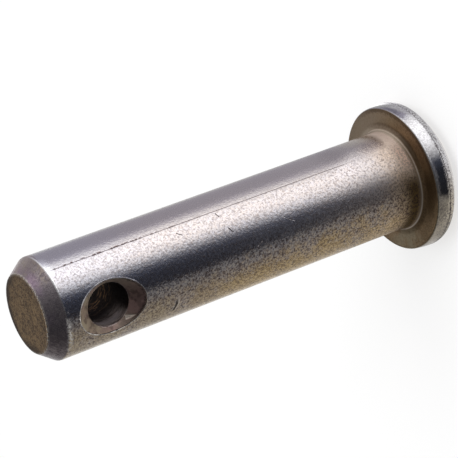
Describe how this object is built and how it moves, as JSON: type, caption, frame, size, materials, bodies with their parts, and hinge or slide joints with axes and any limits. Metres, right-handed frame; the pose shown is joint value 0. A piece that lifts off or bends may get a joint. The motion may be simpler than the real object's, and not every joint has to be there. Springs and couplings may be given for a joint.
{
  "type": "clevis pin",
  "caption": "Headed clevis pin: a round shank with a flat-topped bevelled head, a bevelled free end and a countersunk cross hole for a cotter or spring clip.",
  "frame": {"origin": "centre of the head's flat top, on which the pin stands", "axes": "+Z along the shank from the head to the free end; the cross hole lies along Y, with the mouth that shows best at -Y"},
  "size_m": [0.018, 0.018, 0.054],
  "materials": {
    "plated_steel": "zinc plated and passivated, fine speckle, with a faint yellow and lilac bloom"
  },
  "bodies": {
    "root": {"clevis_pin": "plated_steel"}
  },
  "joints": []
}
